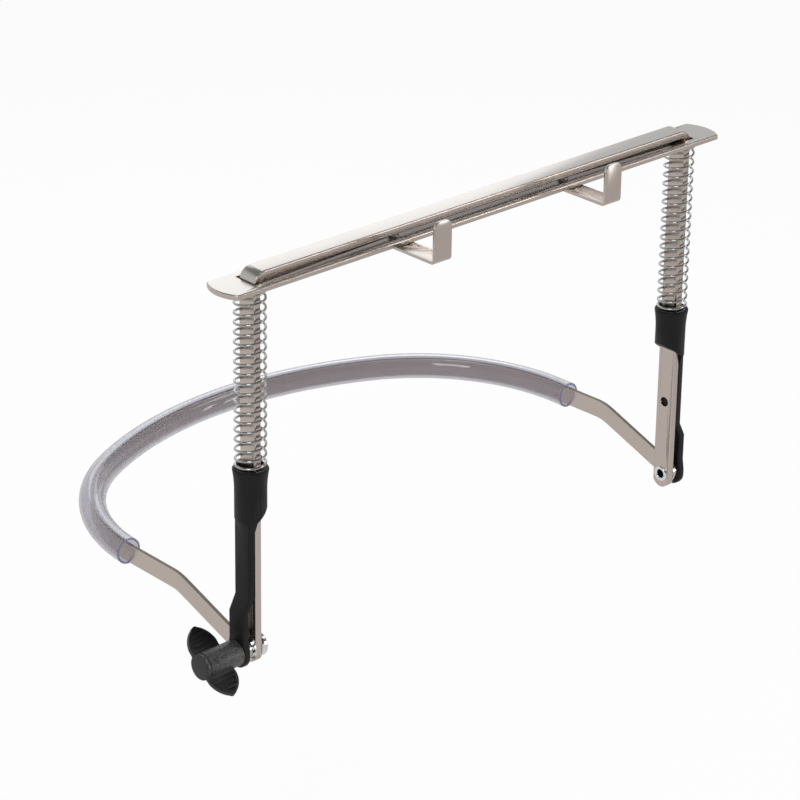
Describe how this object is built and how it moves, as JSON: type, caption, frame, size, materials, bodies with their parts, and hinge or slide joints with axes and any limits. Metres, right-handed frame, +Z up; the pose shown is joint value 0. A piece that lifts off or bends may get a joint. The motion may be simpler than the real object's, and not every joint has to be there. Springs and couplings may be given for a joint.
{
  "type": "harmonica holder",
  "caption": "Neck-worn harmonica holder: a steel neck strap in a clear tube, a tilting frame on locking pivots, and a sprung clamp plate with upturned hooks.",
  "frame": {"origin": "midway between the two places where the neck strap's sides turn into the neck bend, in the strap's middle plane", "axes": "+X along the bar to the wearer's left as worn, +Y from the bar back to the wearer's neck, +Z up along the upright legs"},
  "size_m": [0.248, 0.1725, 0.1588],
  "materials": {
    "satin_steel": "satin nickel plate",
    "bright_steel": "bright zinc plate",
    "spring_steel": "bright nickel-plated wire",
    "black_plastic": "matte black moulding",
    "knob_plastic": "satin black moulding",
    "brass": "turned",
    "clear_tube": "clear flexible tube"
  },
  "bodies": {
    "neck_ring": {"neck_strap": "satin_steel", "neck_tube": "clear_tube"},
    "frame": {"top_bar": "satin_steel", "left_spring": "spring_steel", "right_spring": "spring_steel", "left_arm": "black_plastic", "right_arm": "black_plastic", "left_pivot_bolt": "bright_steel", "right_pivot_rivet": "bright_steel", "left_washer": "bright_steel", "right_washer": "bright_steel", "left_lock_washer": "bright_steel", "right_lock_washer": "bright_steel"},
    "plate": {"clamp_plate": "satin_steel", "left_hook": "satin_steel", "right_hook": "satin_steel", "left_hook_rivet": "bright_steel", "right_hook_rivet": "bright_steel"},
    "knob": {"wing_knob": "knob_plastic", "knob_insert": "brass"}
  },
  "joints": [
    {"name": "frame_tilt", "type": "hinge", "parent": "neck_ring", "child": "frame", "pos_m": [0, -0.0592, -0.013], "axis": [1, 0, 0], "range_deg": [-40, 240]},
    {"name": "plate_slide", "type": "slide", "parent": "frame", "child": "plate", "axis": [0, 0, -1], "range_m": [0, 0.045], "stiffness_N_per_m": 970, "springref_m": -0.01, "deforming": ["left_spring", "right_spring"]},
    {"name": "knob_turn", "type": "hinge", "parent": "frame", "child": "knob", "pos_m": [-0.112, -0.0592, -0.013], "axis": [1, 0, 0], "continuous": true}
  ]
}
